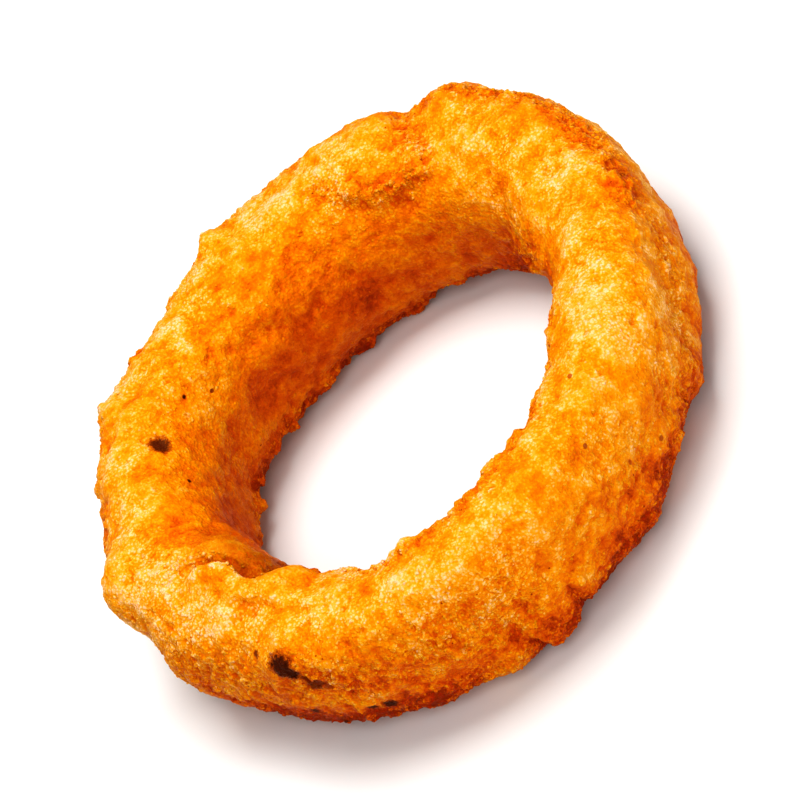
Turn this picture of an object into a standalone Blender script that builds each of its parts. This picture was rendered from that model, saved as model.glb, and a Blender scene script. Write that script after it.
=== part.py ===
"""A battered, deep-fried onion ring, lying flat on its own base.

The ring is one solid: the onion inside is sealed in its batter and never shows. Its wall is
taller than it is thick, as it is on a thick slice of onion, and the loop is not quite round.
The batter adds the lumps: a shoulder and a folded flap on the far rim with a gap between them,
knobs along the outside, two drips near the base and a lip that leans over the hole.

Axes: +Z up, along the axis of the ring, and the ring rests on Z = 0 with the middle of its
box at X = Y = 0. Angles round the ring run anticlockwise from +X, seen from above. Angles
round the wall's section start at the outside (0), and pass the top (90), the hole (180) and
the base (270).

Run with: blender --background --python part.py
"""

import math

import bpy

MM = 0.001

# Driving dimensions, in metres.
LOOP_RADIUS = 31.5 * MM  # from the ring's axis to the middle of its wall
WALL_HALF_THICKNESS = 7.7 * MM  # half of the wall, from the hole to the outside
WALL_HALF_HEIGHT = 10.8 * MM  # half of the wall, from its base to its top, before the base settles
SETTLED_DEPTH = 0.5 * MM  # how much of the soft base is pressed flat by the ring's weight
SECTION_POWER = 2.4  # 2 is an ellipse; a little more squares off the wall's shoulders
WALL_FLARE = 0.07  # how far the wall leans outwards, for each metre of height

# The mesh of the ring.
STEPS_ROUND_RING = 108
STEPS_ROUND_SECTION = 42

# The loop and its wall wander by a few slow waves: (waves per turn, amplitude, degrees of the crest).
LOOP_WAVES = (
    (2, 1.65 * MM, 48),
    (3, 0.65 * MM, 28),
    (4, 0.25 * MM, 73),
)
THICKNESS_WAVES = (
    (1, 0.9 * MM, 70),
    (2, 0.55 * MM, 36),
    (3, 0.6 * MM, 79),
)
TOP_WAVES = (
    (2, 0.3 * MM, 110),
    (3, 0.6 * MM, 36),
    (5, 0.25 * MM, 50),
)
BASE_WAVES = (
    (3, 0.28 * MM, 80),
    (5, 0.15 * MM, 10),
)

# Lumps of batter: (what it is, degrees round the ring, degrees round the section,
# spread along the ring, spread round the section, height above the wall).
LUMPS = (
    ("shoulder", 27, 60, 8.5 * MM, 7.0 * MM, 1.1 * MM),
    ("corner of the shoulder", 44, 48, 2.6 * MM, 5.0 * MM, 1.2 * MM),
    ("gap beside the shoulder", 51, 62, 2.3 * MM, 8.5 * MM, -2.3 * MM),
    ("folded flap", 62, 98, 6.0 * MM, 6.5 * MM, 1.3 * MM),
    ("shelf under the flap", 66, 140, 7.0 * MM, 5.0 * MM, -0.8 * MM),
    ("nub on the far side", 96, 60, 1.6 * MM, 1.8 * MM, 1.5 * MM),
    ("far hollow", 114, 60, 4.5 * MM, 5.0 * MM, -0.8 * MM),
    ("far swelling", 127, 60, 3.5 * MM, 5.0 * MM, 0.5 * MM),
    ("left knob", 138, 57, 2.4 * MM, 3.5 * MM, 1.0 * MM),
    ("left swelling", 146, 58, 4.5 * MM, 5.5 * MM, 0.9 * MM),
    ("left hollow", 163, 56, 5.0 * MM, 6.0 * MM, -0.6 * MM),
    ("left corner", 177, 40, 3.2 * MM, 5.0 * MM, 2.5 * MM),
    ("lower left corner", 194, 8, 3.4 * MM, 4.5 * MM, 1.3 * MM),
    ("lip over the hole", 201, 118, 4.6 * MM, 4.0 * MM, 1.9 * MM),
    ("hollow beside the lip", 214, 132, 3.6 * MM, 4.0 * MM, -0.9 * MM),
    ("near swelling", 228, 30, 8.0 * MM, 6.0 * MM, 0.7 * MM),
    ("near inner step", 240, 148, 4.2 * MM, 4.0 * MM, -1.0 * MM),
    ("first drip", 257, 318, 2.3 * MM, 3.4 * MM, 1.8 * MM),
    ("second drip", 267, 316, 2.1 * MM, 3.4 * MM, 1.8 * MM),
    ("dent in the near top", 277, 78, 4.0 * MM, 4.0 * MM, -0.5 * MM),
    ("right knob", 296, 330, 2.6 * MM, 3.6 * MM, 1.0 * MM),
    ("gap between the knobs", 302, 336, 2.2 * MM, 4.0 * MM, -0.6 * MM),
    ("second right knob", 308, 338, 2.4 * MM, 3.6 * MM, 0.9 * MM),
    ("third right knob", 325, 334, 2.8 * MM, 3.6 * MM, 1.4 * MM),
    ("far inner knob", 84, 178, 5.0 * MM, 3.5 * MM, 0.7 * MM),
    ("inner fold", 2, 150, 4.2 * MM, 3.5 * MM, 0.9 * MM),
)
LUMP_REACH = 4.0  # a lump fades to nothing within this many of its spreads

CRUST_COLOUR = (0.80, 0.30, 0.03, 1.0)
CRUST_ROUGHNESS = 0.55


def clear_scene():
    """Remove whatever the file holds, so that the ring is the only object."""
    for obj in list(bpy.data.objects):
        bpy.data.objects.remove(obj, do_unlink=True)


def crust_material():
    """The golden crust, as one plain Principled BSDF."""
    material = bpy.data.materials.new("golden_crust")
    material.use_nodes = True
    shader = material.node_tree.nodes["Principled BSDF"]
    shader.inputs["Base Color"].default_value = CRUST_COLOUR
    shader.inputs["Roughness"].default_value = CRUST_ROUGHNESS
    shader.inputs["Metallic"].default_value = 0.0
    return material


def sum_of_waves(waves, around):
    """How far these waves carry the shape at this angle round the ring."""
    return sum(size * math.cos(count * (around - math.radians(crest))) for count, size, crest in waves)


def squared(value):
    """One coordinate of the unit section: a circle's, pushed out towards a rounded square."""
    return math.copysign(abs(value) ** (2 / SECTION_POWER), value)


def turn_between(first, second):
    """The shorter way from one angle to another, in radians."""
    return (first - second + math.pi) % (2 * math.pi) - math.pi


def lump_height(around, section, loop_radius, section_radius):
    """How far the batter's lumps raise the wall at this point."""
    total = 0.0
    for _, lump_around, lump_section, along_spread, section_spread, height in LUMPS:
        along = loop_radius * turn_between(around, math.radians(lump_around)) / along_spread
        across = section_radius * turn_between(section, math.radians(lump_section)) / section_spread
        distance_squared = along * along + across * across
        if distance_squared < LUMP_REACH * LUMP_REACH:
            total += height * math.exp(-distance_squared)
    return total


def wall_point(around, section):
    """The point of the crust at these two angles."""
    loop_radius = LOOP_RADIUS + sum_of_waves(LOOP_WAVES, around)
    half_thickness = WALL_HALF_THICKNESS + sum_of_waves(THICKNESS_WAVES, around)
    waves = TOP_WAVES if math.sin(section) > 0 else BASE_WAVES
    half_height = WALL_HALF_HEIGHT + sum_of_waves(waves, around)
    section_radius = (half_thickness + half_height) / 2
    lump = lump_height(around, section, loop_radius, section_radius)
    rise = half_height * squared(math.sin(section)) + lump * math.sin(section)
    outward = half_thickness * squared(math.cos(section)) + lump * math.cos(section)
    radius = loop_radius + outward + WALL_FLARE * rise
    height = WALL_HALF_HEIGHT - SETTLED_DEPTH + rise
    return radius * math.cos(around), radius * math.sin(around), max(height, 0.0)


def shape_ring(mesh):
    """Move each point of a plain torus to its place on the uneven ring."""
    for vertex in mesh.vertices:
        around = math.atan2(vertex.co.y, vertex.co.x)
        outward = math.hypot(vertex.co.x, vertex.co.y) - LOOP_RADIUS
        section = math.atan2(vertex.co.z, outward)
        vertex.co = wall_point(around, section)


def centre_on_box(mesh):
    """Slide the ring so that the middle of its box is on the Z axis."""
    for axis in (0, 1):
        places = [vertex.co[axis] for vertex in mesh.vertices]
        middle = (min(places) + max(places)) / 2
        for vertex in mesh.vertices:
            vertex.co[axis] -= middle


def make_onion_ring():
    """The whole ring, from crust to crust, as one solid."""
    bpy.ops.mesh.primitive_torus_add(
        major_segments=STEPS_ROUND_RING,
        minor_segments=STEPS_ROUND_SECTION,
        major_radius=LOOP_RADIUS,
        minor_radius=WALL_HALF_THICKNESS,
    )
    ring = bpy.context.object
    ring.name = "onion_ring"
    ring.data.name = "onion_ring"
    shape_ring(ring.data)
    centre_on_box(ring.data)
    ring.data.shade_smooth()
    ring.data.materials.append(crust_material())
    return ring


def main():
    clear_scene()
    ring = make_onion_ring()
    collection = bpy.data.collections.new("onion_ring")
    bpy.context.scene.collection.children.link(collection)
    for holder in list(ring.users_collection):
        holder.objects.unlink(ring)
    collection.objects.link(ring)


main()
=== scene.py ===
# %% [markdown]
# # A battered onion ring
#
# A fried onion ring is a thick slice of onion in a coat of batter. The batter sets in hot oil while
# it is still foaming, so its crust is never smooth: slow swellings, folds where it dripped, small
# blisters, wrinkles, and a fine grain over all of it. The onion itself is sealed in and never shows.
#
# This lesson makes that crust over a plain solid ring that is already the right size. The solid is
# loaded first. Everything after it is in the same metres and the same place, so nothing is fitted.

# %% Load the solid ring
import math

import bpy
import numpy as np
from mathutils import Matrix, Vector


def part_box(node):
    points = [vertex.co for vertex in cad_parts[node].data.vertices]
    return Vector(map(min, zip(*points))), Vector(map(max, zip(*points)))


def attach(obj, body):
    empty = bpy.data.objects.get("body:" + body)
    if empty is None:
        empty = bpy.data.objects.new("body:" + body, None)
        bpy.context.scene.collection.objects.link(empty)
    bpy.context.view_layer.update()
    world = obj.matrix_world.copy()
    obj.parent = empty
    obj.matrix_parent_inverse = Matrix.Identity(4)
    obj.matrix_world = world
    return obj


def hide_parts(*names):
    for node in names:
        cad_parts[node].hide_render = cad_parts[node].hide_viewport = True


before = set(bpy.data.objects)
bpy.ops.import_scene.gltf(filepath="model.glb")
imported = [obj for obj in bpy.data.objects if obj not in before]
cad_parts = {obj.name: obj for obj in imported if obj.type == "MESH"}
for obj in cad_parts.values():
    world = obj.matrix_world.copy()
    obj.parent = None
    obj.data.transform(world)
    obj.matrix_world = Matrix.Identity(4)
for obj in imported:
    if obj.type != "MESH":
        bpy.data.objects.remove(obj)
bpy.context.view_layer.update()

MM = 0.001
NODE = "onion_ring"
low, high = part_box(NODE)
RING_WIDTH = high.x - low.x
RING_HEIGHT = high.z - low.z
print(f"solid ring: {RING_WIDTH / MM:.1f} mm across, {RING_HEIGHT / MM:.1f} mm high")

# %% [markdown]
# ## Finding the way round a ring
#
# A place on a ring is easiest to say with two angles: how far round the ring it is, and how far
# round the wall's section, from the outside (0) over the top (90) to the hole (180) and the base
# (270). The ring isn't quite round, so the middle of its wall is measured from the solid itself,
# one slice at a time, and read back by interpolation.

# %% Measure the wall, slice by slice
SLICES = 72


def read_points(mesh):
    """A mesh's points as rows of x, y and z."""
    points = np.empty(len(mesh.vertices) * 3)
    mesh.vertices.foreach_get("co", points)
    return points.reshape(-1, 3)


def measure_slices(points):
    """For each slice round the ring: its angle, and the middle and half thickness of the wall."""
    around = np.degrees(np.arctan2(points[:, 1], points[:, 0])) % 360
    radius = np.hypot(points[:, 0], points[:, 1])
    step = 360 / SLICES
    rows = []
    for index in range(SLICES):
        angle = index * step
        near = np.abs((around - angle + 180) % 360 - 180) < step
        inner, outer = radius[near].min(), radius[near].max()
        rows.append((angle, (inner + outer) / 2, (outer - inner) / 2))
    rows.append((360.0, rows[0][1], rows[0][2]))
    return np.array(rows)


SOLID_POINTS = read_points(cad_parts[NODE].data)
WALL = measure_slices(SOLID_POINTS)


def loop_radius(around):
    """From the ring's axis to the middle of its wall, at this angle."""
    return np.interp(around, WALL[:, 0], WALL[:, 1])


def ring_angles(points):
    """Each point's degrees round the ring, and its degrees round the section."""
    around = np.degrees(np.arctan2(points[:, 1], points[:, 0])) % 360
    outward = np.hypot(points[:, 0], points[:, 1]) - loop_radius(around)
    section = np.degrees(np.arctan2(points[:, 2] - RING_HEIGHT / 2, outward)) % 360
    return around, section


print(f"wall: {2 * WALL[:, 2].min() / MM:.1f} to {2 * WALL[:, 2].max() / MM:.1f} mm thick")

# %% [markdown]
# ## The camera
#
# A product picture looks down on food from about 40 degrees, from far away with a long lens, so
# that the ring's near and far walls keep their true sizes. The camera is also turned about its own
# line of sight, which shows the ring as if it leaned on its lower left side.

# %% Camera
CAMERA_ELEVATION = math.radians(41.5)
CAMERA_ROLL = math.radians(41.0)
CAMERA_DISTANCE = 3.0
FRAME_FILL = 0.80  # the share of the picture's width that the ring takes
SENSOR_WIDTH = 36.0
NEAREST_SEEN = 0.01  # metres from the camera

towards_camera = Vector((0, -math.cos(CAMERA_ELEVATION), math.sin(CAMERA_ELEVATION)))
level_up = Vector((0, math.sin(CAMERA_ELEVATION), math.cos(CAMERA_ELEVATION)))
level_right = Vector((1, 0, 0))
picture_right = math.cos(CAMERA_ROLL) * level_right - math.sin(CAMERA_ROLL) * level_up
picture_up = math.sin(CAMERA_ROLL) * level_right + math.cos(CAMERA_ROLL) * level_up


def new_object(name, data):
    """A new object with this data, put into the scene."""
    obj = bpy.data.objects.new(name, data)
    bpy.context.scene.collection.objects.link(obj)
    return obj


def add_camera():
    """A long-lens camera that holds the whole ring in the middle of the picture."""
    places = SOLID_POINTS @ np.array((picture_right, picture_up)).T
    lowest, highest = places.min(0), places.max(0)
    across, up = (lowest + highest) / 2
    target = picture_right * across + picture_up * up
    picture_width = (highest - lowest).max() / FRAME_FILL
    data = bpy.data.cameras.new("camera")
    data.sensor_width = SENSOR_WIDTH
    data.lens = SENSOR_WIDTH * CAMERA_DISTANCE / picture_width
    data.clip_start = NEAREST_SEEN
    camera = new_object("camera", data)
    turn = Matrix((picture_right, picture_up, towards_camera)).transposed().to_4x4()
    camera.matrix_world = Matrix.Translation(target + towards_camera * CAMERA_DISTANCE) @ turn
    bpy.context.scene.camera = camera
    print(f"picture {picture_width / MM:.0f} mm wide, lens {data.lens:.0f} mm")


add_camera()

# %% [markdown]
# ## Small helpers for node trees
#
# Geometry Nodes and shader nodes are wired the same way, so a few helpers serve both: one feeds a
# socket with a number or a link, others add one node and hand back its output. The last ones begin,
# end and run a Geometry Nodes tree, and turn its result into a plain mesh.

# %% Helpers for node trees
def feed(tree, socket, value):
    """Link value into the socket if it is a socket itself, or else set it."""
    if isinstance(value, bpy.types.NodeSocket):
        tree.links.new(value, socket)
    else:
        socket.default_value = value


def maths(tree, operation, *values):
    """One Math node. Its inputs are numbers or sockets."""
    step = tree.nodes.new("ShaderNodeMath")
    step.operation = operation
    for socket, value in zip(step.inputs, values):
        feed(tree, socket, value)
    return step.outputs[0]


def times(tree, one, other):
    """One value times the other."""
    return maths(tree, "MULTIPLY", one, other)


def times_plus(tree, one, other, more):
    """One value times the other, plus a third."""
    return maths(tree, "MULTIPLY_ADD", one, other, more)


def ramp_between(tree, value, start, end, low_out=0.0, high_out=1.0):
    """A soft step: low_out below start, high_out above end."""
    step = tree.nodes.new("ShaderNodeMapRange")
    step.interpolation_type = "SMOOTHSTEP"
    for name, part in zip(("Value", "From Min", "From Max", "To Min", "To Max"),
                          (value, start, end, low_out, high_out)):
        feed(tree, step.inputs[name], part)
    return step.outputs["Result"]


def noise(tree, where, per_mm, detail=1.0, roughness=0.5, bend=0.0):
    """Noise from 0 to 1, with per_mm swellings to a millimetre."""
    texture = tree.nodes.new("ShaderNodeTexNoise")
    feed(tree, texture.inputs["Vector"], where)
    for name, value in (("Scale", per_mm), ("Detail", detail), ("Roughness", roughness),
                        ("Distortion", bend)):
        feed(tree, texture.inputs[name], value)
    return texture.outputs[0]


def centred(tree, value):
    """The value less a half, so that noise runs as far below 0 as above it."""
    return maths(tree, "SUBTRACT", value, 0.5)


def cells(tree, where, per_mm):
    """Distance to the nearest of a scatter of points, per_mm of them to a millimetre."""
    texture = tree.nodes.new("ShaderNodeTexVoronoi")
    feed(tree, texture.inputs["Vector"], where)
    feed(tree, texture.inputs["Scale"], per_mm)
    return texture.outputs["Distance"]


def scaled(tree, vector, factor):
    """The vector, made this many times as long."""
    step = tree.nodes.new("ShaderNodeVectorMath")
    step.operation = "SCALE"
    feed(tree, step.inputs[0], vector)
    feed(tree, step.inputs["Scale"], factor)
    return step.outputs[0]


def combined(tree, x, y, z):
    """A vector of three numbers or sockets."""
    step = tree.nodes.new("ShaderNodeCombineXYZ")
    for socket, value in zip(step.inputs, (x, y, z)):
        feed(tree, socket, value)
    return step.outputs[0]


def new_geometry_tree(name, sizes):
    """A Geometry Nodes tree with a mesh in, a mesh out and a named input for each size."""
    tree = bpy.data.node_groups.new(name, "GeometryNodeTree")
    tree.interface.new_socket("Geometry", in_out="INPUT", socket_type="NodeSocketGeometry")
    for label, value in sizes.items():
        kind = "NodeSocketInt" if isinstance(value, int) else "NodeSocketFloat"
        tree.interface.new_socket(label, in_out="INPUT", socket_type=kind)
    tree.interface.new_socket("Geometry", in_out="OUTPUT", socket_type="NodeSocketGeometry")
    return tree, tree.nodes.new("NodeGroupInput").outputs


def end_tree(tree, geometry, material):
    """Make the instances real, give them the material and hand the mesh out."""
    real = tree.nodes.new("GeometryNodeRealizeInstances")
    feed(tree, real.inputs[0], geometry)
    paint = tree.nodes.new("GeometryNodeSetMaterial")
    feed(tree, paint.inputs["Geometry"], real.outputs[0])
    paint.inputs["Material"].default_value = material
    feed(tree, tree.nodes.new("NodeGroupOutput").inputs[0], paint.outputs[0])


def run_tree(obj, tree, sizes):
    """Add the tree to obj as a modifier, with these sizes set by their sockets' identifiers."""
    modifier = obj.modifiers.new(tree.name, "NODES")
    modifier.node_group = tree
    for item in tree.interface.items_tree:
        if item.in_out == "INPUT" and item.name in sizes:
            modifier[item.identifier] = sizes[item.name]


def bake_to_plain_mesh(obj, name):
    """A new object with obj's evaluated mesh and no modifiers. obj itself is removed."""
    graph = bpy.context.evaluated_depsgraph_get()
    mesh = bpy.data.meshes.new_from_object(obj.evaluated_get(graph))
    mesh.name = name
    bpy.data.objects.remove(obj, do_unlink=True)
    return new_object(name, mesh)


def write_points(mesh, points):
    """Move a mesh's points."""
    mesh.vertices.foreach_set("co", points.astype(np.float32).ravel())
    mesh.update()


def read_normals(mesh):
    """The direction that each point of a mesh faces."""
    normals = np.empty(len(mesh.vertices) * 3)
    mesh.vertex_normals.foreach_get("vector", normals)
    return normals.reshape(-1, 3)


# %% [markdown]
# ## A copy of the solid to work on
#
# The solid arrives as loose triangles. A copy of it is merged, so that the ring becomes one skin
# that later steps can push and pull, and it is divided finely enough to take a fold.

# %% Copy the solid
import bmesh

MERGE_DISTANCE = 0.01 * MM
JOIN_ANGLE = math.radians(40)  # triangles that meet at less than this become four-sided faces
DIVISIONS = 2


def copy_of_solid():
    """The solid ring as one merged, finely divided skin."""
    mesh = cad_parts[NODE].data.copy()
    skin = bmesh.new()
    skin.from_mesh(mesh)
    bmesh.ops.remove_doubles(skin, verts=skin.verts, dist=MERGE_DISTANCE)
    bmesh.ops.join_triangles(skin, faces=skin.faces, angle_face_threshold=JOIN_ANGLE,
                             angle_shape_threshold=JOIN_ANGLE)
    skin.to_mesh(mesh)
    skin.free()
    obj = new_object("batter_form", mesh)
    divide = obj.modifiers.new("divide", "SUBSURF")
    divide.levels = DIVISIONS
    return bake_to_plain_mesh(obj, "batter_form")


crust_material = bpy.data.materials.new("golden_crust")
form = copy_of_solid()
print(f"working skin: {len(form.data.vertices)} points")

# %% [markdown]
# ## Folds, drips and knobs
#
# Wet batter slides before it sets. Where one sheet of it stops on another there is a fold: a step
# with a rounded lip, a thin shadow under the lip, and a ragged edge. Each fold is drawn on the ring
# as a short path of (degrees round the ring, degrees round the section), and the batter on its left
# is raised. A knob is one spot, pushed straight out.

# %% Paths and spots on the skin
from mathutils import noise as noise_at


def spot_on_skin(around, section, points):
    """Which point lies nearest to these two angles."""
    point_around, point_section = ring_angles(points)
    along = np.radians((point_around - around + 180) % 360 - 180) * loop_radius(around)
    across = np.radians((point_section - section + 180) % 360 - 180) * RING_HEIGHT / 2
    return int(np.argmin(along ** 2 + across ** 2))


def smooth_path(corners, steps=6):
    """Points along a smooth curve through the corners."""
    ends = [2 * corners[0] - corners[1], *corners, 2 * corners[-1] - corners[-2]]
    path = []
    for before, start, end, after in zip(ends, ends[1:], ends[2:], ends[3:]):
        for t in np.arange(steps) / steps:
            path.append(0.5 * (2 * start + (end - before) * t
                               + (2 * before - 5 * start + 4 * end - after) * t ** 2
                               + (3 * start - before - 3 * end + after) * t ** 3))
    return np.array([*path, corners[-1]])


def soft_step(value, start, end):
    """0 before start, 1 after end, and smooth between them."""
    t = np.clip((value - start) / (end - start), 0, 1)
    return t * t * (3 - 2 * t)


def ragged(points, per_mm, size):
    """Noise of this size at each point, for edges that aren't clean."""
    return np.array([noise_at.fractal(Vector(p) * per_mm / MM, 1.0, 2.0, 2) for p in points]) * size


def to_run(points, run, start):
    """How far along a straight run each point lies, from 0 to 1, and its way there from the run."""
    t = np.clip(((points - start) @ run) / max(run @ run, 1e-12), 0, 1)
    return t, points - (start + t[:, None] * run)


def beside_path(points, normals, path):
    """For each point: its distance from the path (more than 0 on the left), its place, the way left."""
    nearest = np.full(len(points), np.inf)
    side = np.zeros(len(points))
    place = np.zeros(len(points))
    left = np.zeros((len(points), 3))
    for index, (start, end) in enumerate(zip(path, path[1:])):
        run = end - start
        t, away = to_run(points, run, start)
        distance = np.linalg.norm(away, axis=1)
        closer = distance < nearest
        leftward = np.cross(normals, run / np.linalg.norm(run))
        nearest[closer] = distance[closer]
        side[closer] = np.sign((away * leftward).sum(1))[closer]
        left[closer] = leftward[closer]
        place[closer] = ((index + t) / (len(path) - 1))[closer]
    return nearest * side, place, left


print(f"the ring is {2 * math.pi * WALL[:, 1].mean() / MM:.0f} mm long round the middle of its wall")

# %% [markdown]
# ## Where each fold lies
#
# The folds that catch the eye on a fried ring are few: a flap that slid over the wall of the hole, a
# lip that hangs over the hole like a small wave, drips that stopped at the bottom edge, and a
# shoulder where two sheets met. The rest of the outline comes from knobs and hollows. All of them
# are a list, so that another ring only needs another list.

# %% Fold the batter
# What it is, its path, the step's height, how far the raised sheet reaches, the groove's depth, the
# groove's half width, how far the lip hangs over, how ragged its edge is, half the step's width: in mm.
FOLDS = (
    ("shoulder's edge", ((53, 44), (52, 56), (50, 68), (48, 78)),
     0.5, 5.0, 0.5, 1.2, 0.1, 0.6, 0.9),
    ("flap over the inner wall", ((74, 100), (66, 115), (59, 130), (51, 134), (43, 125), (42, 111),
                                  (44, 100), (48, 86)),
     0.7, 4.0, 0.1, 0.9, 0.15, 1.4, 1.1),
    ("lip over the hole", ((230, 130), (224, 129), (218, 118), (216, 103), (212, 97), (207, 99),
                           (201, 98), (197, 88), (195, 74)),
     1.8, 3.0, 2.0, 1.6, 0.6, 0.4, 0.5),
    ("first drip's edge", ((262, 345), (262, 325), (263, 308), (263, 292)),
     0.8, 2.4, 0.6, 0.9, 0.2, 0.4, 0.6),
    ("second drip's edge", ((273, 340), (274, 320), (274, 305), (273, 290)),
     0.8, 2.4, 0.6, 0.9, 0.2, 0.4, 0.6),
    ("wrinkle across the right wall", ((13, 108), (8, 89), (2, 70), (355, 57), (348, 45)),
     0.45, 2.0, 0.15, 0.8, 0.1, 0.5, 0.6),
    ("fold on the left wall", ((128, 95), (140, 84), (151, 74), (160, 60)),
     0.4, 3.0, 0.2, 1.0, 0.0, 0.8, 0.9),
    ("slump on the near wall", ((208, 76), (218, 84), (230, 82), (243, 88)),
     0.5, 3.5, 0.3, 1.2, 0.0, 0.8, 0.9),
)
# What they are, then for each: degrees round the ring, degrees round the section, radius and height in
# mm, and how steep its sides are where they aren't the usual 2.
KNOBS = (
    ("nub on the far side", (96, 58, 1.2, 0.8, 3)),
    ("mound over the hole", (206, 97, 2.6, 0.9)),
    ("step and swelling of the near rim", (252, 105, 1.7, 1.4), (259, 104, 2.4, 0.7)),
    ("rim crumbs", (267, 108, 1.1, 0.7), (277, 110, 0.9, 0.8), (287, 114, 1.2, 0.6), (297, 122, 1.4, 0.5)),
    ("dips in the rim", (272, 110, 1.0, -0.4), (308, 122, 3.0, -0.4), (295, 100, 3.4, -0.8)),
    ("crumbs inside the rim", (18, 180, 1.1, 0.9), (13, 176, 0.9, 0.7), (14, 198, 1.0, 0.7)),
    ("crumbs at the foot of the hole", (148, 230, 1.1, 0.9), (139, 226, 0.9, 0.7), (128, 230, 1.3, 0.9),
     (117, 233, 0.9, 0.8), (101, 232, 1.4, 0.7), (84, 236, 1.0, 0.8), (66, 236, 1.3, 0.7)),
    ("pits in the far wall", (73, 168, 1.0, -1.1), (86, 168, 0.8, -0.7), (103, 153, 1.0, -0.6)),
    ("hollow on the left", (148, 52, 5.0, -0.7)),
    ("knobs on the left", (137, 58, 1.6, 0.3), (151, 50, 1.4, 0.4), (179, 36, 1.6, 0.4)),
    ("hollows on the right", (343, 15, 5.0, -1.2), (331, 343, 5.5, -1.3), (316, 322, 4.0, -0.9)),
    ("knobs on the right", (322, 333, 2.0, 0.5), (304, 333, 1.8, 0.6), (293, 325, 1.6, 0.6)),
)


def fold_along(mesh, corners, height, reach, depth, width, overhang, raggedness, softness):
    """Raise the sheet on the path's left, cut a groove on its right, and hang the lip over it."""
    points, normals = read_points(mesh), read_normals(mesh)
    path = smooth_path([points[spot_on_skin(*corner, points)] for corner in corners])
    span = np.linalg.norm(path - path.mean(0), axis=1).max()
    near = np.linalg.norm(points - path.mean(0), axis=1) < span + 2.5 * reach * MM
    distance, place, left = beside_path(points[near], normals[near], path)
    distance = distance / MM + ragged(points[near], 0.5, raggedness)
    fade = soft_step(place, 0.0, 0.2) * soft_step(1 - place, 0.0, 0.2)
    sheet = soft_step(distance, -softness, softness) * np.exp(-(np.maximum(distance, 0) / reach) ** 2)
    groove = np.exp(-((distance + 0.6 * width) / width) ** 2)
    lip = np.exp(-((distance - softness) / softness) ** 2)
    rise = fade * (height * sheet - depth * groove) * MM
    slide = fade * overhang * lip * MM
    points[near] += rise[:, None] * normals[near] - slide[:, None] * left
    write_points(mesh, points)


def push_knob(mesh, around, section, radius, height, steepness=2):
    """Push one spot of the skin straight out, or in if height is negative."""
    points, normals = read_points(mesh), read_normals(mesh)
    centre = spot_on_skin(around, section, points)
    distance = np.linalg.norm(points - points[centre], axis=1) / MM
    rise = height * MM * np.exp(-(distance / radius) ** steepness)
    points += rise[:, None] * normals[centre]
    write_points(mesh, points)


for _, corners, *sizes in FOLDS:
    fold_along(form.data, corners, *sizes)
for _, *knobs in KNOBS:
    for knob in knobs:
        push_knob(form.data, *knob)
print(f"{len(FOLDS)} folds and {sum(len(knobs) - 1 for knobs in KNOBS)} knobs")

# %% [markdown]
# ## Rough bands
#
# Thin edges of batter fry first. They break into crumbs and turn brown, while the thick, smooth
# parts between them stay gold. A band is a path with a width. It gives each point two numbers, how
# rough and how brown it is, and they are kept on the points, so that the blisters, the relief, the
# loose crumbs and the colour can all follow the same edges.

# %% Where the crust is rough
# What it is, its path, half its width in mm, how rough it is, and how brown.
ROUGH_BANDS = (
    ("near rim of the hole", ((191, 80), (194, 101), (206, 102), (211, 114), (225, 132), (237, 124),
                              (245, 101), (258, 101), (268, 100), (280, 102), (296, 113), (306, 120),
                              (322, 132), (338, 148), (355, 155)), 1.3, 0.9, 0.25),
    ("edge of the flap", ((70, 103), (64, 117), (58, 123), (51, 125), (46, 121), (43, 112), (46, 96),
                          (50, 74)), 1.6, 0.9, 0.4),
    ("edge of the shoulder", ((50, 58), (44, 58), (38, 58), (30, 58), (22, 52), (14, 52), (6, 52),
                              (352, 42)), 1.9, 0.8, 0.6),
    ("right shoulder", ((352, 42), (344, 12), (335, 352), (325, 335)), 2.2, 0.6, 0.15),
    ("lower right edge", ((325, 335), (316, 322), (305, 316), (290, 306), (277, 302), (250, 305)),
     2.6, 0.8, 0.5),
    ("lower left edge", ((250, 305), (235, 308), (222, 314), (211, 322), (205, 338), (200, 352)),
     2.8, 0.9, 1.1),
    ("lower left corner", ((200, 352), (192, 8), (184, 20)), 1.4, 0.7, 0.6),
    ("left edge", ((184, 34), (172, 42), (160, 48), (148, 52), (136, 56), (122, 56)), 1.6, 0.6, 0.3),
    ("far edge", ((122, 52), (108, 52), (96, 52), (80, 50), (66, 50), (53, 50)), 1.3, 0.5, 0.2),
    ("inside of the far right rim", ((30, 225), (22, 205), (16, 188), (10, 176), (4, 165)),
     2.5, 1.0, 0.6),
    ("lower edge of the hole", ((40, 228), (60, 230), (85, 234), (110, 232), (130, 228), (150, 230),
                                (170, 232)), 1.7, 1.0, 0.2),
    ("crumbs below the burnt blister", ((225, 28), (229, 19), (232, 10)), 3.0, 1.3, 1.0),
    ("grainy lower wall", ((262, 4), (252, 10), (240, 12), (228, 8), (216, 8), (206, 14), (197, 24)),
     5.0, 0.8, 0.35),
    ("grainy right wall", ((277, 12), (290, 6), (304, 0), (318, 2)), 4.0, 0.3, 0.1),
)


def band_strength(points, which):
    """How rough (which = 0) or how brown (which = 1) the bands leave each point."""
    total = np.zeros(len(points))
    for _, corners, width, *strengths in ROUGH_BANDS:
        path = smooth_path([points[spot_on_skin(*corner, points)] for corner in corners], 3)
        nearest = np.full(len(points), np.inf)
        for start, end in zip(path, path[1:]):
            _, away = to_run(points, end - start, start)
            nearest = np.minimum(nearest, np.linalg.norm(away, axis=1))
        total = np.maximum(total, strengths[which] * np.exp(-(nearest / (width * MM)) ** 2))
    return total


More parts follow.
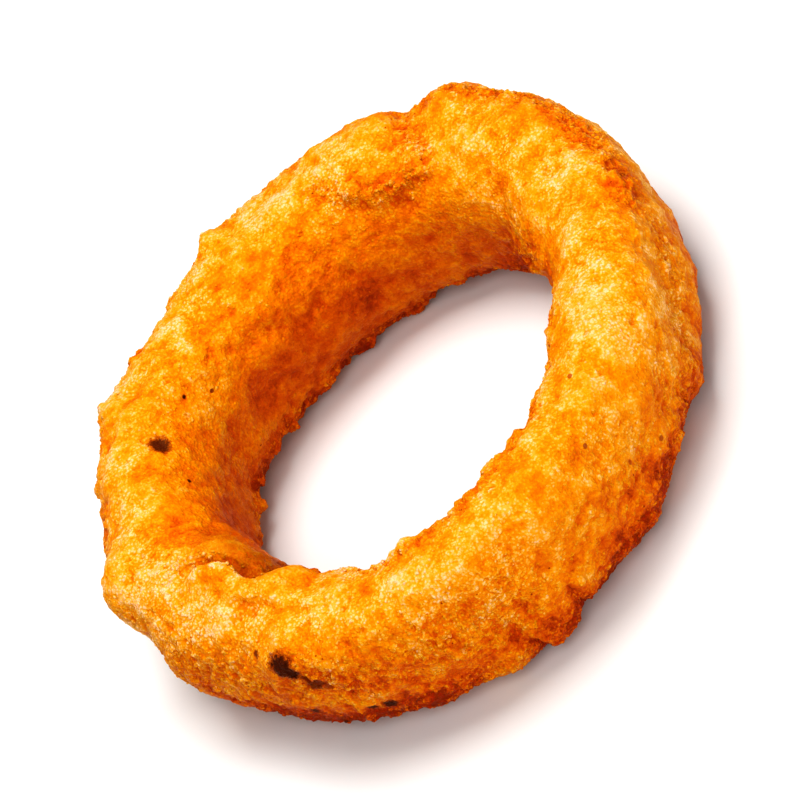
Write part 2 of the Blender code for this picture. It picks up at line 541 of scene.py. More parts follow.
def keep_on_points(mesh, name, values):
    """Store one number for each point, for a tree or a material to read."""
    if name in mesh.attributes:
        mesh.attributes.remove(mesh.attributes[name])
    attribute = mesh.attributes.new(name, "FLOAT", "POINT")
    attribute.data.foreach_set("value", values.astype(np.float32))


keep_on_points(form.data, "rough", band_strength(read_points(form.data), 0))
print(f"{len(ROUGH_BANDS)} rough bands")

# %% [markdown]
# ## Blisters, and one skin over them
#
# Steam lifts the batter into blisters while it sets. Each is a squashed ball, half sunk in the
# ring. Geometry Nodes scatter them, and a voxel remesh melts balls and ring into one closed skin,
# with the sharp little valleys between neighbours that a bump texture can't give.

# %% Scatter blisters
def in_mm(tree):
    """Each point's position, in millimetres."""
    return scaled(tree, tree.nodes.new("GeometryNodeInputPosition").outputs[0], 1 / MM)


def kept_number(tree, name):
    """The number kept on the points under this name."""
    reader = tree.nodes.new("GeometryNodeInputNamedAttribute")
    reader.data_type = "FLOAT"
    reader.inputs["Name"].default_value = name
    return reader.outputs["Attribute"]


def random_between(tree, lowest, highest, seed):
    """A random number for each point."""
    pick = tree.nodes.new("FunctionNodeRandomValue")
    pick.data_type = "FLOAT"
    for socket, value in ((pick.inputs[2], lowest), (pick.inputs[3], highest), (pick.inputs["Seed"], seed)):
        feed(tree, socket, value)
    return pick.outputs[1]


def scatter_balls(tree, size, density, scale, divisions=2, sink=0.0):
    """Squashed balls of this scale, scattered over the incoming mesh at this density."""
    new = tree.nodes.new
    scatter = new("GeometryNodeDistributePointsOnFaces")
    feed(tree, scatter.inputs["Mesh"], size["Geometry"])
    feed(tree, scatter.inputs["Seed"], size["Seed"])
    feed(tree, scatter.inputs["Density"], density)
    lower = new("GeometryNodeSetPosition")
    feed(tree, lower.inputs["Geometry"], scatter.outputs["Points"])
    feed(tree, lower.inputs["Offset"], scaled(tree, scatter.outputs["Normal"], -sink))
    ball = new("GeometryNodeMeshIcoSphere")
    ball.inputs["Radius"].default_value = 1.0
    ball.inputs["Subdivisions"].default_value = divisions
    place = new("GeometryNodeInstanceOnPoints")
    feed(tree, place.inputs["Points"], lower.outputs[0])
    feed(tree, place.inputs["Instance"], ball.outputs["Mesh"])
    spin = new("FunctionNodeRotateEuler")
    spin.rotation_type = "EULER"
    spin.space = "LOCAL"
    feed(tree, spin.inputs["Rotation"], scatter.outputs["Rotation"])
    turn = combined(tree, 0.0, 0.0, random_between(tree, 0.0, 2 * math.pi, 11))
    feed(tree, spin.inputs["Rotate By"], turn)
    feed(tree, place.inputs["Rotation"], spin.outputs[0])
    feed(tree, place.inputs["Scale"], scale)
    return place.outputs[0]


def blister_tree(sizes):
    """Half-sunk balls, scattered over a mesh and joined to it, more of them where it is rough."""
    tree, size = new_geometry_tree("blisters", sizes)
    patches = noise(tree, in_mm(tree), size["Patches per mm"])
    crowd = times(tree, size["Density"], ramp_between(tree, patches, 0.46, 0.66))
    rough = kept_number(tree, "rough")
    crowd = times_plus(tree, size["Rough density"], rough, crowd)
    radius = random_between(tree, size["Smallest"], size["Largest"], size["Seed"])
    length = times(tree, radius, random_between(tree, 0.8, 1.6, 5))
    flatness = times_plus(tree, rough, 0.5, size["Flatness"])
    shape = combined(tree, length, radius, times(tree, radius, flatness))
    both = tree.nodes.new("GeometryNodeJoinGeometry")
    tree.links.new(scatter_balls(tree, size, crowd, shape), both.inputs[0])
    tree.links.new(size["Geometry"], both.inputs[0])
    end_tree(tree, both.outputs[0], crust_material)
    return tree


BLISTERS = {
    "Density": 70000.0,
    "Rough density": 700000.0,
    "Smallest": 0.22 * MM,
    "Largest": 0.65 * MM,
    "Flatness": 0.35,
    "Patches per mm": 0.12,
    "Seed": 7,
}
SKIN_VOXEL = 0.30 * MM

run_tree(form, blister_tree(BLISTERS), BLISTERS)
melt = form.modifiers.new("melt", "REMESH")
melt.mode = "VOXEL"
melt.voxel_size = SKIN_VOXEL
melt.use_smooth_shade = True
crust = bake_to_plain_mesh(form, "crust")
print(f"crust skin: {len(crust.data.vertices)} points, {len(crust.data.polygons)} faces")

# %% [markdown]
# ## Relief
#
# Over the blisters lie slow swellings, wrinkles where the skin shrank as it dried, shallow pits
# where bubbles burst, and a fine grain. Each is a layer of noise with its own size and height, and
# all of them are pushed along the skin's own direction by one Geometry Nodes tree.

# %% Push the relief
def pushed(tree, geometry, distance):
    """The geometry with its points pushed this far along the skin's own direction."""
    normal = tree.nodes.new("GeometryNodeInputNormal").outputs[0]
    move = tree.nodes.new("GeometryNodeSetPosition")
    feed(tree, move.inputs["Geometry"], geometry)
    feed(tree, move.inputs["Offset"], scaled(tree, normal, distance))
    return move.outputs[0]


def relief_tree(sizes):
    """Layers of noise, pushed along the skin's normals."""
    tree, size = new_geometry_tree("relief", sizes)
    at = in_mm(tree)
    swell = times(tree, centred(tree, noise(tree, at, size["Swells per mm"])), size["Swell"])
    lumps = noise(tree, at, size["Lumps per mm"], 1.0, 0.4)
    lump = times(tree, centred(tree, lumps), size["Lump"])
    wrinkled = ramp_between(tree, noise(tree, at, size["Wrinkled patches per mm"]), 0.42, 0.6)
    wrinkles = noise(tree, at, size["Wrinkles per mm"], 2.0, 0.6, bend=0.3)
    ridges = times(tree, maths(tree, "ABSOLUTE", centred(tree, wrinkles)), wrinkled)
    wrinkle = times(tree, ridges, size["Wrinkle"])
    coarse = times_plus(tree, kept_number(tree, "rough"), size["Rough grain"], size["Grain"])
    grains = noise(tree, at, size["Grains per mm"], 2.0, 0.75)
    grain = times(tree, centred(tree, grains), coarse)
    no_pit = ramp_between(tree, cells(tree, at, size["Pits per mm"]), 0.04, 0.16)
    pit = times(tree, maths(tree, "SUBTRACT", no_pit, 1.0), size["Pit"])
    total = swell
    for layer in (lump, wrinkle, grain, pit):
        total = maths(tree, "ADD", total, layer)
    end_tree(tree, pushed(tree, size["Geometry"], total), crust_material)
    return tree


RELIEF = {
    "Swell": 1.8 * MM,
    "Swells per mm": 0.07,
    "Lump": 2.0 * MM,
    "Lumps per mm": 0.17,
    "Wrinkle": -1.2 * MM,
    "Wrinkles per mm": 0.45,
    "Wrinkled patches per mm": 0.11,
    "Grain": 0.75 * MM,
    "Rough grain": 0.9 * MM,
    "Grains per mm": 0.75,
    "Pit": 0.15 * MM,
    "Pits per mm": 0.25,
}
keep_on_points(crust.data, "rough", band_strength(read_points(crust.data), 0))
run_tree(crust, relief_tree(RELIEF), RELIEF)
crust = bake_to_plain_mesh(crust, "crust")


def count_triangles(mesh):
    """How many triangles the mesh's faces make."""
    return sum(len(face.vertices) - 2 for face in mesh.polygons)


TRIANGLE_BUDGET = 196_000
thin = crust.modifiers.new("thin", "DECIMATE")
thin.ratio = min(1.0, TRIANGLE_BUDGET / count_triangles(crust.data))
crust = bake_to_plain_mesh(crust, "crust")
print(f"crust: {count_triangles(crust.data)} triangles")

# %% [markdown]
# ## A flat foot
#
# The ring drained on a rack and then stood on a table, so it doesn't touch the table at one point:
# its lowest bumps are pressed flat. Lifting every point that is under the table up to it does that.

# %% Rest it on the table
points = read_points(crust.data)
print(f"{(points[:, 2] < 0).sum()} points pressed up to the table")
points[:, 2] = np.maximum(points[:, 2], 0.0)
write_points(crust.data, points)

# %% [markdown]
# ## Ridges and hollows
#
# The material paints what stands up lighter and what lies in a crease darker: painted light on the
# ridges and painted shade in the hollows. Smoothing the skin and measuring how far each point stands
# out of the smoothed one gives both, at whatever size the smoothing reaches. The result is kept on
# the points, where the material can read it.

# %% Measure ridges and hollows
def edge_pairs(mesh):
    """The two points of every edge."""
    pairs = np.empty(len(mesh.edges) * 2, np.int64)
    mesh.edges.foreach_get("vertices", pairs)
    return pairs.reshape(-1, 2)


def smoothed(values, pairs, rounds):
    """Average each point's value with its neighbours', this many times."""
    count = np.bincount(pairs.ravel(), minlength=len(values)).astype(float)
    values = values.copy()
    for _ in range(rounds):
        total = np.empty_like(values)
        for axis in range(values.shape[1]):
            one = np.bincount(pairs[:, 0], values[pairs[:, 1], axis], len(values))
            other = np.bincount(pairs[:, 1], values[pairs[:, 0], axis], len(values))
            total[:, axis] = one + other
        values = 0.5 * values + 0.5 * total / count[:, None]
    return values


def stand_out(mesh, rounds):
    """How far each point stands out of the smoothed skin, in units of its usual spread."""
    points = read_points(mesh)
    rise = ((points - smoothed(points, edge_pairs(mesh), rounds)) * read_normals(mesh)).sum(1)
    return np.clip(rise / (2.0 * rise.std()), -1, 1)


keep_on_points(crust.data, "fine_ridge", stand_out(crust.data, 6))
keep_on_points(crust.data, "broad_ridge", stand_out(crust.data, 80))
print("ridges and hollows kept at two sizes")

# %% [markdown]
# ## Pale, brown and shaded patches
#
# Noise alone would colour the ring the same all over. Patches add the rest, each a soft spot given
# by its two angles, its radius and its strength. Pale patches are partly cream crust and partly
# painted light, with a painted highlight along the mound's top edge. Brown patches are partly
# browned crust and partly painted shade, most of all on the wall behind the mound. The creases
# behind the mound get painted shade of their own. The hole is one more patch: its wall is darkened
# to deep orange as painted shade.

# %% Place the patches
# Degrees round the ring, degrees round the section, radius in mm, strength, in order round the ring.
# Lighter spots: partly cream crust, partly painted light where the ring should look lit, and a painted
# highlight along the top edge of the mound over the hole.
PALE_AND_LIT_PATCHES = (
    (5, 93, 3.5, 0.7), (6, 74, 4, 0.7), (10, 171, 4, 1.3), (12, 60, 2.5, 0.7), (18, 146, 5, 0.8),
    (22, 168, 5, 0.8), (23, 94, 4, 0.6), (23, 135, 2, 0.5), (32, 170, 4, 0.6), (33, 61, 3, 0.8),
    (36, 76, 3.5, 0.6), (41, 59, 2.5, 0.8), (45, 94, 3, 0.9), (46, 112, 1.4, 0.3), (48, 87, 2.5, 0.6),
    (49, 186, 6, 0.5), (52, 123, 2, 0.6), (53, 105, 2.2, 0.8), (57, 135, 3, 0.5), (61, 121, 1.4, 0.2),
    (64, 90, 3.5, 0.8), (66, 114, 2.8, 0.9), (67, 112, 2.5, 1.5), (71, 102, 2.5, 0.7), (82, 72, 4.5, 1.0),
    (105, 63, 4, 0.9), (110, 93, 3, 0.8), (118, 75, 4, 0.6), (130, 72, 4, 0.7), (136, 178, 5, 0.5),
    (141, 186, 5, 0.7), (143, 111, 3, 0.7), (149, 97, 3, 0.6), (155, 84, 3.5, 0.9), (169, 80, 4, 0.9),
    (182, 78, 4, 0.9), (183, 78, 3.5, 1.3), (187, 54, 3, 1.2), (189, 27, 3.5, 0.8), (191, 71, 4, 0.8),
    (193, 79, 3.5, 1.5), (194, 43, 3, 1.1), (198, 51, 3, 0.6), (198, 90, 1.2, 1.8), (200, 55, 4, 1.4),
    (203, 72, 4, 0.8), (204, 98, 1.1, 2.4), (210, 97, 1, 2.4), (212, 44, 3.5, 0.6), (213, 40, 3, 1.0),
    (214, 77, 3.5, 1.6), (217, 70, 3.5, 0.9), (228, 77, 3.5, 0.9), (229, 19, 2.6, 1.0),
    (232, 127, 1.5, 1.4), (235, 16, 4, 0.5), (238, 70, 3.5, 0.8), (239, 108, 1.2, 1.4), (246, 77, 3, 0.8),
    (249, 106, 1.2, 1.6), (251, 106, 2, 0.8), (252, 42, 5, 0.9), (252, 298, 3.5, 0.6),
    (252, 302, 3.5, 1.0), (255, 70, 3, 0.6), (257, 46, 5, 0.4), (262, 40, 5, 0.9), (265, 47, 4, 0.3),
    (267, 52, 4, 0.9), (273, 84, 4, 0.7), (286, 88, 3, 0.7), (288, 64, 2.5, 0.5), (295, 47, 3.5, 0.6),
    (295, 90, 3, 0.6), (306, 98, 3, 0.6), (308, 318, 3.5, 0.6), (317, 9, 4, 0.3), (317, 46, 3, 0.5),
    (317, 72, 4, 0.7), (325, 86, 3.5, 0.6), (328, 23, 2.5, 0.6), (330, 350, 4, 0.6), (330, 354, 4, 1.0),
    (333, 85, 4.5, 0.8), (341, 90, 4, 0.7), (342, 20, 4, 0.5), (352, 97, 3.5, 0.5),
)
# Darker spots: partly browned crust, partly painted shade, most of all on the wall behind the mound.
BROWN_AND_SHADED_PATCHES = (
    (5, 142, 3, 0.5), (12, 58, 2.4, 0.3), (17, 58, 2.8, 0.4), (22, 74, 2.4, 0.3), (43, 66, 1.8, 0.5),
    (46, 119, 1.8, 0.5), (52, 124, 2, 0.6), (54, 216, 5, 0.2), (58, 117, 1.8, 0.4), (67, 138, 5, 0.3),
    (82, 181, 6, 0.4), (98, 132, 5, 0.6), (100, 172, 5, 0.3), (118, 150, 5, 0.3), (144, 124, 5, 0.4),
    (160, 118, 5, 0.7), (172, 106, 3, 0.6), (176, 118, 5, 0.9), (184, 150, 6, 0.9), (186, 128, 5, 1.1),
    (197, 118, 3.5, 0.7), (205, 88, 1.7, 0.6), (207, 116, 3, 0.5), (210, 93, 1.6, 0.5),
    (212, 138, 5, 0.8), (213, 20, 3, 0.4), (215, 94, 1.5, 0.5), (216, 6, 3.5, 0.5), (219, 330, 4, 0.6),
    (226, 312, 4, 0.6), (238, 22, 6, 0.4), (239, 86, 1.8, 0.5), (245, 36, 2, 0.3), (251, 340, 5, 0.4),
    (278, 76, 2.6, 1.1), (285, 325, 5, 0.4), (288, 2, 4, 0.6), (292, 51, 2, 0.3), (305, 330, 5, 0.5),
    (308, 28, 4, 0.3), (352, 133, 2.5, 0.5), (355, 50, 2.5, 0.3),
)
# Creases behind the mound, darkened as painted shade.
CREASE_SHADE_PATCHES = (
    (194, 124, 3, 0.4), (201, 116, 2, 0.7), (207, 113, 2, 0.9), (209, 126, 3, 0.9), (212, 149, 5, 1.0),
    (217, 132, 3, 0.6),
)


def patch_strength(points, patches):
    """How strongly the patches mark each point: 0 outside them, up to a patch's strength in it."""
    total = np.zeros(len(points))
    for around, section, radius, strength in patches:
        away = np.linalg.norm(points - points[spot_on_skin(around, section, points)], axis=1)
        total = np.maximum(total, strength * np.exp(-(away / (radius * MM)) ** 2))
    return total


def in_the_hole(points):
    """0 over the top and the outside, rising to 1 down the wall of the hole."""
    _, section = ring_angles(points)
    return soft_step(section, 120, 190) * (1 - soft_step(section, 205, 270))


crust_points = read_points(crust.data)
keep_on_points(crust.data, "pale", patch_strength(crust_points, PALE_AND_LIT_PATCHES))
keep_on_points(crust.data, "brown", patch_strength(crust_points, BROWN_AND_SHADED_PATCHES))
keep_on_points(crust.data, "crease_shade", patch_strength(crust_points, CREASE_SHADE_PATCHES))
# The hole's wall, which the material darkens to deep orange as painted shade.
keep_on_points(crust.data, "hole_wall", in_the_hole(crust_points))
keep_on_points(crust.data, "rough", band_strength(crust_points, 0))
keep_on_points(crust.data, "toasted", band_strength(crust_points, 1))
crust.data.shade_smooth()
print(f"{len(PALE_AND_LIT_PATCHES)} pale, {len(BROWN_AND_SHADED_PATCHES)} brown and {len(CREASE_SHADE_PATCHES)} soaked patches")

# %% [markdown]
# ## The colour of fried batter
#
# One number, the tone, runs from deep orange through gold to cream, and a colour ramp turns it into
# colour. Patches, ridges and noise all add to the tone or take from it, so that the colours always
# follow the order in which batter browns. Part of the tone is painted light and shade: lighter on
# ridges, darker in hollows, in creases, down the hole's wall and towards the base, where the crust
# also browns. On top lie fine flecks of crisp skin, brown speckles on the toasted edges and, partly
# as painted shade, towards the base and down the hole, and the burnt spots, each with a toasted halo
# and a charred heart. A little light passes through the skin, and the shine is faint and warm, as
# of a thin film of oil.

# %% Material of the crust
def srgb(*colour):
    """A colour given as it looks on a screen, from 0 to 255, in the renderer's own numbers."""
    parts = [((c / 255 + 0.055) / 1.055) ** 2.4 if c > 10 else c / 3294.6 for c in colour]
    return (*parts, 1.0)


def colour_stops(tree, value, stops):
    """A Color Ramp through these (place, red, green, blue) stops."""
    ramp = tree.nodes.new("ShaderNodeValToRGB")
    feed(tree, ramp.inputs[0], value)
    elements = ramp.color_ramp.elements
    while len(elements) > 1:
        elements.remove(elements[-1])
    for index, (place, *colour) in enumerate(stops):
        element = elements[0] if index == 0 else elements.new(place)
        element.position = place
        element.color = srgb(*colour)
    return ramp.outputs[0]


def read_attribute(tree, name):
    """What was kept on the points under this name."""
    reader = tree.nodes.new("ShaderNodeAttribute")
    reader.attribute_name = name
    return reader.outputs["Fac"]


# What they are, then for each: degrees round the ring, degrees round the section, radius in mm, and how
# far it is charred.
BURNT_SPOTS = (
    ("blister on the left", (151, 110, 1.35, 0.9)),
    ("blister on the near wall, with its trail", (223, 39, 1.8, 1.0), (224, 33, 1.3, 1.0),
     (226, 26, 0.9, 0.5), (227, 19, 1.2, 0.7), (229, 13, 0.6, 0.4), (217, 45, 0.5, 0.6)),
    ("scorched bottom edge", (232, 326, 0.8, 1.0), (235, 323, 1.0, 1.0), (221, 332, 0.7, 0.9),
     (224, 311, 0.7, 0.9)),
    ("pinholes", (135, 119, 0.28, 1.0), (162, 131, 0.28, 1.0), (129, 137, 0.25, 0.5)),
    ("specks on the right wall", (292, 51, 0.35, 0.1), (304, 341, 0.35, 0.1), (296, 2, 0.3, 0.0),
     (304, 82, 0.3, 0.0)),
)


def laid_over(tree, colour, factor, top):
    """The colour with a second one, top, laid over it, as strongly as factor says."""
    mix = tree.nodes.new("ShaderNodeMix")
    mix.data_type = "RGBA"
    feed(tree, mix.inputs[0], factor)
    feed(tree, mix.inputs[6], colour)
    feed(tree, mix.inputs[7], srgb(*top))
    return mix.outputs[2]


def burnt(tree, at, points):
    """Two masks of the burnt spots, with frayed edges: their toasted halos and their charred hearts."""
    fray = centred(tree, noise(tree, at, 1.8, 4.0, 0.8))
    halo, heart = 0.0, 0.0
    for around, section, radius, charred in [spot for _, *spots in BURNT_SPOTS for spot in spots]:
        away = tree.nodes.new("ShaderNodeVectorMath")
        away.operation = "DISTANCE"
        feed(tree, away.inputs[0], at)
        away.inputs[1].default_value = points[spot_on_skin(around, section, points)] / MM
        edge = times_plus(tree, fray, 1.7 * radius, away.outputs["Value"])
        halo = maths(tree, "MAXIMUM", halo, ramp_between(tree, edge, 1.3 * radius, 0.9 * radius))
        heart = maths(tree, "MAXIMUM", heart,
                      ramp_between(tree, edge, 1.0 * radius, 0.6 * radius, 0.0, charred))
    return halo, heart


# Place on the tone's scale, then red, green and blue.
TONE_COLOURS = (
    (0.00, 142, 48, 0), (0.18, 194, 84, 0), (0.36, 212, 115, 0), (0.52, 220, 136, 0),
    (0.62, 223, 149, 12), (0.76, 229, 164, 62), (0.90, 235, 180, 114), (1.00, 239, 189, 142),
)
MIDDLE_TONE = 0.47
# How much each number kept on the points adds to the tone, and to the strength of the crisp flecks.
# fine_ridge and broad_ridge add painted light on ridges and painted shade in hollows; hole_wall adds
# painted shade down the hole's wall; pale and brown are partly painted light and shade.
TONE_WEIGHTS = (("fine_ridge", 0.06), ("broad_ridge", 0.08), ("pale", 0.14), ("brown", -0.24),
                ("hole_wall", -0.24), ("toasted", -0.14), ("rough", -0.10))
FLECK_STRENGTH = 0.15
FLECK_WEIGHTS = (("pale", 0.17), ("brown", -0.15), ("hole_wall", -0.10))
# Darker towards the base: partly browning of the crust, partly painted shade.
UNDERSIDE_TONE = -0.46
UNDERSIDE_TOP = 11.0  # mm above the table, where the outside starts to darken towards the base
UNDERSIDE_BASE = 1.0  # and where it is darkest
# Colours that are laid over the tone's.
SPECKLE = (168, 42, 0)
# Painted shade: crevices go a darker, redder orange.
CREVICE_SHADE = (206, 80, 0)
# Painted shade for the creases behind the mound.
CREASE_SHADE_COLOUR = (120, 50, 0)
TOASTED = (158, 58, 2)
CHARRED = (76, 27, 8)
BUMP_HEIGHT = 0.22 * MM


def weighted(tree, total, weights):
    """The total, plus each number kept on the points times its weight."""
    for name, weight in weights:
        total = times_plus(tree, read_attribute(tree, name), weight, total)
    return total


def golden_crust(material, shift=0.0):
    """Fried batter: gold, cream where pale, with painted shade in hollows and painted light on ridges."""
    material.use_nodes = True
    tree = material.node_tree
    coordinates = tree.nodes.new("ShaderNodeTexCoord")
    at = scaled(tree, coordinates.outputs["Object"], 1 / MM)
    patches = noise(tree, at, 0.14, 1.0, 0.6)
    mottle = noise(tree, at, 0.40, 4.0, 0.70)
    dots = maths(tree, "SUBTRACT", 1.0, cells(tree, at, 2.6))
    fine_noise = noise(tree, at, 2.1, 2.0, 0.75)
    grain = times_plus(tree, dots, 0.5, times(tree, fine_noise, 0.5))
    pale, rough, hole_wall, toasted, crease_shade, fine_ridge = [
        read_attribute(tree, name)
        for name in ("pale", "rough", "hole_wall", "toasted", "crease_shade", "fine_ridge")]

    # The tone: noise, then what was kept on the points, then flecks of crisp skin.
    broad = times(tree, centred(tree, patches), 0.5)
    broad = times_plus(tree, centred(tree, mottle), 1.05, broad)
    less_in_the_hole = times_plus(tree, hole_wall, -0.5, 1.0)
    tone = times_plus(tree, broad, less_in_the_hole, MIDDLE_TONE + shift)
    tone = weighted(tree, tone, TONE_WEIGHTS)
    crisp = weighted(tree, FLECK_STRENGTH, FLECK_WEIGHTS)
    crisp = times_plus(tree, centred(tree, mottle), 0.7, crisp)
    fleck = ramp_between(tree, grain, 0.43, 0.63)
    tone = times_plus(tree, fleck, maths(tree, "MAXIMUM", crisp, 0.05), tone)
    split = tree.nodes.new("ShaderNodeSeparateXYZ")
    feed(tree, split.inputs[0], at)
    outside = maths(tree, "SUBTRACT", 1.0, maths(tree, "MAXIMUM", hole_wall, pale))
    low_down = ramp_between(tree, split.outputs["Z"], UNDERSIDE_TOP, UNDERSIDE_BASE)
    underside = times(tree, low_down, outside)
    # Darker towards the base: partly browning, partly painted shade.
    tone = times_plus(tree, underside, UNDERSIDE_TONE, tone)

    # The tone's colour, and what lies over it.
    colour = colour_stops(tree, tone, TONE_COLOURS)
    # Brown speckles: on toasted and rough edges and, partly as painted shade, towards the base and down the
    # hole.
    browned_and_shaded = times_plus(tree, underside, 0.35, toasted)
    browned_and_shaded = times_plus(tree, times(tree, rough, outside), 0.4, browned_and_shaded)
    browned_and_shaded = maths(tree, "MINIMUM", times_plus(tree, hole_wall, 0.35, browned_and_shaded), 1.0)
    speckle = ramp_between(tree, noise(tree, at, 1.4, 4.0, 0.8), 0.47, 0.60, 0.0, 0.75)
    colour = laid_over(tree, colour, times(tree, speckle, browned_and_shaded), SPECKLE)
    # Painted shade: the deepest crevices are coloured a darker, redder orange.
    colour = laid_over(tree, colour, ramp_between(tree, fine_ridge, -0.4, -1.0, 0.0, 0.35), CREVICE_SHADE)
    # Painted shade in the creases behind the mound.
    colour = laid_over(tree, colour, times(tree, crease_shade, 0.6), CREASE_SHADE_COLOUR)
    halo, heart = burnt(tree, at, crust_points)
    colour = laid_over(tree, colour, times(tree, halo, 0.8), TOASTED)
    colour = laid_over(tree, colour, heart, CHARRED)

    bump = tree.nodes.new("ShaderNodeBump")
    feed(tree, bump.inputs["Height"], maths(tree, "ADD", grain, mottle))
    bump.inputs["Distance"].default_value = BUMP_HEIGHT
    shader = tree.nodes["Principled BSDF"]
    for name, value in (("Base Color", colour), ("Normal", bump.outputs[0]),
                        ("Roughness", ramp_between(tree, mottle, 0.42, 0.58, 0.6, 0.4)),
                        ("Subsurface Weight", 0.25), ("Subsurface Radius", (1.0, 0.4, 0.1)),
                        ("Subsurface Scale", 0.6 * MM), ("IOR", 1.45),
                        ("Specular Tint", (1.0, 0.65, 0.2, 1.0)), ("Specular IOR Level", 0.15)):
        feed(tree, shader.inputs[name], value)
    return material


crust.data.materials.clear()
crust.data.materials.append(golden_crust(crust_material))
print(f"crust material with {len(crust_material.node_tree.nodes)} nodes")

# %% [markdown]
# ## Crumbs, grit, flakes and char
#
# The finest texture of a fried crust is loose: crumbs and drops of batter that set along its edges,
# grit where it is rough, thin pale flakes whose pale colour is partly painted glints, and charred
# specks. Each kind is one small ball, squashed and turned at random, that Geometry Nodes scatter
# over the finished crust. They have only 20 to 80 faces, as there are thousands of them.

# %% Scatter the loose batter
LOOSE_SINK = 0.06 * MM
DENTS_PER_MM = 2.5
DENT_DEPTH = 0.8  # of the largest radius


def loose_tree(name, sizes, material, attribute, divisions):
    """Small squashed balls over a mesh, more of them where the attribute is high."""
    tree, size = new_geometry_tree(name, sizes)
    clump = ramp_between(tree, noise(tree, in_mm(tree), size["Clumps per mm"]), 0.36, 0.58)
    weight = times(tree, maths(tree, "MAXIMUM", kept_number(tree, attribute), 0.0), clump)
    crowd = times_plus(tree, size["Density"], weight, size["Elsewhere"])
    hole = maths(tree, "SUBTRACT", 1.0, kept_number(tree, "hole_wall"))
    crowd = times(tree, crowd, maths(tree, "MAXIMUM", hole, size["In the hole"]))
    radius = random_between(tree, size["Smallest"], size["Largest"], size["Seed"])
    length = times(tree, radius, random_between(tree, 1.0, size["Length"], 3))
    width = times(tree, radius, random_between(tree, 0.7, 1.0, 4))
    shape = combined(tree, length, width, times(tree, radius, size["Thickness"]))
    balls = scatter_balls(tree, size, crowd, shape, divisions, LOOSE_SINK)
    real = tree.nodes.new("GeometryNodeRealizeInstances")
    feed(tree, real.inputs[0], balls)
    dents = centred(tree, noise(tree, in_mm(tree), DENTS_PER_MM))
    depth = times(tree, size["Largest"], DENT_DEPTH)
    dented = pushed(tree, real.outputs[0], times(tree, dents, depth))
    end_tree(tree, dented, material)
    return tree


def scatter_over_crust(name, sizes, material, attribute, divisions):
    """One piece of loose batter, as a plain mesh."""
    holder = new_object(name, crust.data.copy())
    run_tree(holder, loose_tree(name, sizes, material, attribute, divisions), sizes)
    piece = bake_to_plain_mesh(holder, name)
    piece.data.shade_smooth()
    points = read_points(piece.data)
    points[:, 2] = np.maximum(points[:, 2], 0.0)
    write_points(piece.data, points)
    print(f"{name}: {count_triangles(piece.data)} triangles")
    return piece


# The sizes of a tree: how many balls to a square metre for an attribute of 1, and how many everywhere;
# what share of them is left in the hole; radius in metres; length and thickness for a radius of 1.
LOOSE_SIZES = ("Density", "Elsewhere", "In the hole", "Smallest", "Largest", "Length", "Thickness",
               "Clumps per mm", "Seed")
# A name, what it gathers on, how often its balls are divided, how much paler it is, and those sizes.
LOOSE_KINDS = (
    ("crumbs", "rough", 2, 0.20, 800000.0, 0.0, 0.9, 0.13 * MM, 0.32 * MM, 1.4, 0.8, 0.4, 21),
    ("grit", "rough", 1, 0.18, 4500000.0, 60000.0, 0.7, 0.1 * MM, 0.24 * MM, 1.4, 0.8, 0.5, 22),
    ("grains", "rough", 1, 0.12, 2500000.0, 350000.0, 0.6, 0.13 * MM, 0.27 * MM, 1.3, 0.6, 0.2, 25),
    # Pale flakes: lighter batter, whose colour also serves as painted glints.
    ("pale_flakes", "pale", 1, 0.15, 2500000.0, 150000.0, 0.0, 0.1 * MM, 0.22 * MM, 1.3, 0.5, 0.45, 23),
    ("char", "toasted", 1, -0.45, 700000.0, 0.0, 0.3, 0.08 * MM, 0.2 * MM, 1.4, 0.6, 0.35, 24),
)
loose_pieces = []
for name, attribute, divisions, shift, *values in LOOSE_KINDS:
    material = golden_crust(bpy.data.materials.new(f"batter_{name}"), shift)
    sizes = dict(zip(LOOSE_SIZES, values))
    loose_pieces.append(scatter_over_crust(name, sizes, material, attribute, divisions))

# %% [markdown]
# ## Floor and light
#
# Food looks fresh in broad, soft light. A large softbox stands above and to the left, and gives the
# shape its shading. Three weaker ones fill the shadows from the right, from low in front and from
# beside the camera. The floor is plain and pale, and bright enough to turn white.

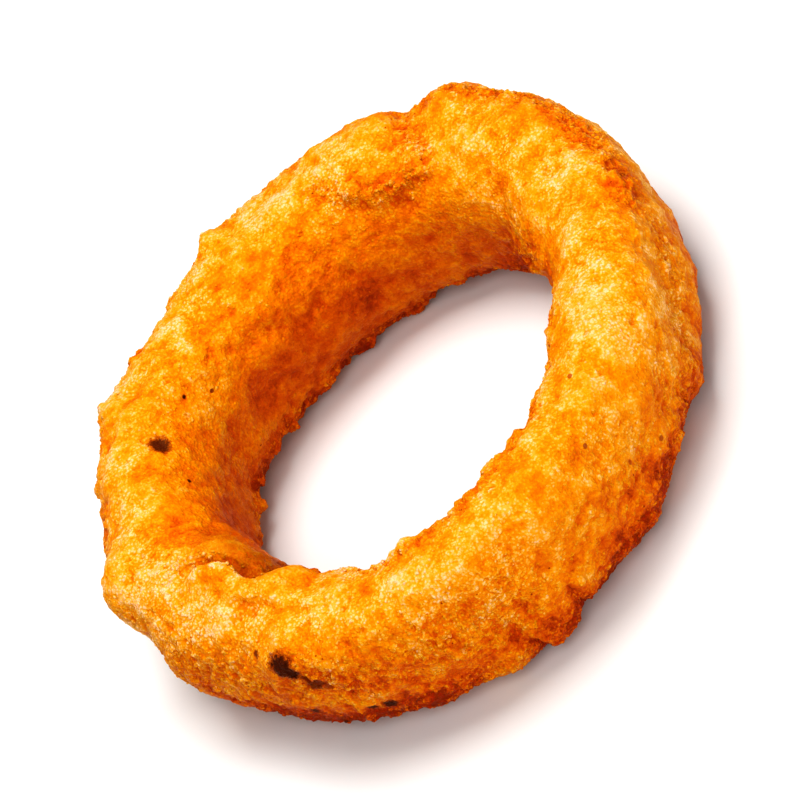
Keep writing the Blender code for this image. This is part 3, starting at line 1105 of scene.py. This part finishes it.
# %% Floor, light and view
FLOOR_SIZE = 6.0
FLOOR_GAP = 0.05 * MM
FLOOR_COLOUR = (0.72, 0.72, 0.71, 1)
SKY_STRENGTH = 0.22
# What it is, the way to it from the ring, its distance and width in metres, and its power in watts.
SOFTBOXES = (
    ("key", 0.75 * picture_up - 0.55 * picture_right + 0.5 * towards_camera, 0.7, 0.45, 4.1),
    ("right_fill", 0.5 * picture_up + 0.8 * picture_right + 0.3 * towards_camera, 0.8, 0.6, 0.8),
    ("low_front", Vector((0.15, -1, 0.3)), 0.8, 0.6, 1.9),
    ("front", towards_camera - 0.3 * picture_right, 1.0, 0.7, 3.4),
)


def add_floor():
    """A plain pale ground, a hair's breadth under the ring."""
    bpy.ops.mesh.primitive_plane_add(size=FLOOR_SIZE, location=(0, 0, -FLOOR_GAP))
    floor = bpy.context.object
    floor.name = "floor"
    material = bpy.data.materials.new("pale_floor")
    material.use_nodes = True
    shader = material.node_tree.nodes["Principled BSDF"]
    shader.inputs["Base Color"].default_value = FLOOR_COLOUR
    shader.inputs["Roughness"].default_value = 0.8
    floor.data.materials.append(material)
    return floor


def add_softbox(name, direction, distance, size, power):
    """A square area light that shines on the ring from this direction."""
    data = bpy.data.lights.new(name, "AREA")
    data.size = size
    data.energy = power
    light = new_object(name, data)
    direction = direction.normalized()
    light.location = direction * distance
    light.rotation_euler = direction.to_track_quat("Z", "Y").to_euler()


floor = add_floor()
for softbox in SOFTBOXES:
    add_softbox(*softbox)
world = bpy.data.worlds.new("studio")
world.use_nodes = True
sky = world.node_tree.nodes["Background"]
sky.inputs["Color"].default_value = (1, 1, 1, 1)
sky.inputs["Strength"].default_value = SKY_STRENGTH
scene = bpy.context.scene
scene.world = world
scene.view_settings.view_transform = "Standard"
scene.view_settings.look = "High Contrast"
print(f"a floor, {len(SOFTBOXES)} softboxes and a dim white sky")

# %% [markdown]
# ## Hand the pieces over
#
# The crust takes the place of the plain solid, and every piece of loose batter rides on it.

# %% Hand the pieces over
for piece in (crust, *loose_pieces):
    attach(piece, "root")
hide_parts(NODE)
